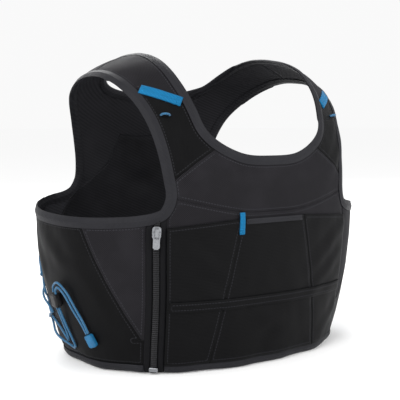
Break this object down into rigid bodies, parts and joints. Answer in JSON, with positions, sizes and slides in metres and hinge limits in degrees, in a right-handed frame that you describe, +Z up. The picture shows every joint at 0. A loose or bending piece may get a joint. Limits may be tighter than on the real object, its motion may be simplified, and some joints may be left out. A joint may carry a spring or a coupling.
{
  "type": "running hydration vest",
  "caption": "Sleeveless stretch running vest with flat chest pockets, a side zip below the armhole and laced, cord-locked side strips; held open in its worn form.",
  "frame": {"origin": "midway between the two shoulder straps, at the height where the wearer's shoulders carry them", "axes": "+Z up, -Y the way the wearer faces, -X the wearer's right side with the zip"},
  "size_m": [0.3446, 0.2442, 0.2944],
  "materials": {
    "stretch_charcoal": "matte stretch knit",
    "stretch_black": "smooth stretch knit",
    "edge_binding": "folded elastic tape",
    "net": "open net",
    "blue_trim": "woven cord and webbing",
    "zip_metal": "satin",
    "zip_tape": "woven tape",
    "zip_chain": "moulded coil"
  },
  "bodies": {
    "vest": {"front_yoke": "stretch_charcoal", "strap_pocket_right": "stretch_black", "strap_pocket_left": "stretch_black", "shoulder_right": "stretch_charcoal", "shoulder_left": "stretch_charcoal", "back_wing_right": "stretch_charcoal", "back_wing_left": "stretch_charcoal", "nape_panel": "stretch_charcoal", "back_panel": "stretch_black", "lace_panel_right": "net", "lace_panel_left": "net", "front_base": "stretch_charcoal", "gusset_right": "stretch_charcoal", "side_panel_right": "stretch_black", "gusset_left": "stretch_charcoal", "side_panel_left": "stretch_black", "chest_pocket_right": "stretch_black", "chest_pocket_left": "stretch_black", "chest_pocket_centre": "stretch_black", "pocket_hem": "edge_binding", "pocket_band": "stretch_black", "armhole_binding_right": "edge_binding", "armhole_binding_left": "edge_binding", "neck_binding": "edge_binding", "hem_binding": "edge_binding", "nape_piping": "edge_binding", "zip_tape_front": "zip_tape", "zip_tape_side": "zip_tape", "zip_chain": "zip_chain", "zip_slider": "zip_metal", "zip_stop": "zip_metal", "strap_tab_right": "blue_trim", "strap_tab_left": "blue_trim", "pocket_tab": "blue_trim", "nape_tab": "blue_trim", "strap_loop_right": "blue_trim", "strap_loop_left": "blue_trim", "lace_under_right": "blue_trim", "lace_under_left": "blue_trim", "lace_over_right": "blue_trim", "lace_over_left": "blue_trim", "cord_lock_right": "stretch_black", "cord_lock_left": "stretch_black", "tail_front_right": "blue_trim", "tail_front_left": "blue_trim", "tail_back_right": "blue_trim", "tail_back_left": "blue_trim", "end_tab_right": "blue_trim", "end_tab_left": "blue_trim"},
    "zip_pull": {"zip_pull": "zip_metal"}
  },
  "joints": [
    {"name": "zip_pull_hinge", "type": "hinge", "parent": "vest", "child": "zip_pull", "pos_m": [-0.11604, -0.10024, -0.15702], "axis": [-0.8781, 0.4759, 0.0485], "range_deg": [0, 160]}
  ]
}
